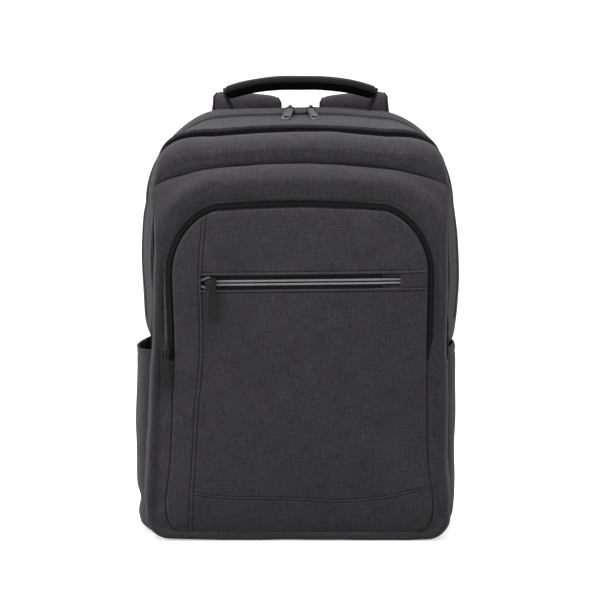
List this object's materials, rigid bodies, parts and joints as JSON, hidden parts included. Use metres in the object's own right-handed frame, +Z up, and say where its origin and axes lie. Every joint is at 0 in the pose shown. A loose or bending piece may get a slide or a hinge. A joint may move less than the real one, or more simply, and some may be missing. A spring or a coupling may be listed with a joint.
{
  "type": "laptop backpack",
  "caption": "Standing laptop backpack with a main compartment, a tiered front pocket under an arched zipper, a chest zipper, side pockets, a top handle and padded shoulder straps.",
  "frame": {"origin": "on the floor under the main compartment, midway between the sides, 23 mm behind the main compartment's front wall", "axes": "+Z up, -Y towards the front of the bag, +X to the right seen from the front"},
  "size_m": [0.3279, 0.1943, 0.4606],
  "materials": {
    "melange_fabric": "woven charcoal melange polyester",
    "zipper_tape": "woven black zipper tape and coil",
    "black_webbing": "ribbed black webbing",
    "handle_cloth": "fine dark woven cloth",
    "handle_lining": "smooth black knit",
    "black_metal": "black lacquered zinc",
    "black_buckle": "moulded black plastic",
    "gunmetal": "satin gunmetal",
    "pull_rubber": "soft matt moulded pull"
  },
  "bodies": {
    "bag": {"main_shell": "melange_fabric", "back_panel": "melange_fabric", "main_zipper": "zipper_tape", "front_pocket_shell": "melange_fabric", "front_panel": "melange_fabric", "front_zipper": "zipper_tape", "chest_zipper": "zipper_tape", "side_pocket_left": "melange_fabric", "side_pocket_right": "melange_fabric", "handle_cover": "handle_cloth", "handle_pad": "handle_lining", "handle_leg_left": "black_webbing", "handle_leg_right": "black_webbing", "shoulder_strap_left": "melange_fabric", "shoulder_strap_right": "melange_fabric", "strap_adjuster_left": "black_buckle", "strap_adjuster_right": "black_buckle", "strap_web_left": "black_webbing", "strap_web_right": "black_webbing", "strap_anchor_left": "melange_fabric", "strap_anchor_right": "melange_fabric", "main_slider_left": "black_metal", "main_slider_right": "black_metal", "front_slider": "black_metal", "chest_slider": "black_metal"},
    "main_tab_left": {"main_pull_left": "gunmetal"},
    "main_tab_right": {"main_pull_right": "gunmetal"},
    "front_tab": {"front_pull": "pull_rubber"},
    "chest_tab": {"chest_pull": "pull_rubber"}
  },
  "joints": [
    {"name": "main_pull_left_hinge", "type": "hinge", "parent": "bag", "child": "main_tab_left", "pos_m": [-0.0105, 0.01746, 0.42845], "axis": [-1, 0, 0], "range_deg": [0, 140]},
    {"name": "main_pull_right_hinge", "type": "hinge", "parent": "bag", "child": "main_tab_right", "pos_m": [0.0105, 0.01745, 0.42843], "axis": [-1, 0, 0], "range_deg": [0, 140]},
    {"name": "front_pull_hinge", "type": "hinge", "parent": "bag", "child": "front_tab", "pos_m": [-0.13334, -0.07037, 0.19], "axis": [-1, 0, 0], "range_deg": [0, 150]},
    {"name": "chest_pull_hinge", "type": "hinge", "parent": "bag", "child": "chest_tab", "pos_m": [-0.088, -0.07745, 0.2585], "axis": [-1, 0, 0], "range_deg": [0, 150]}
  ]
}
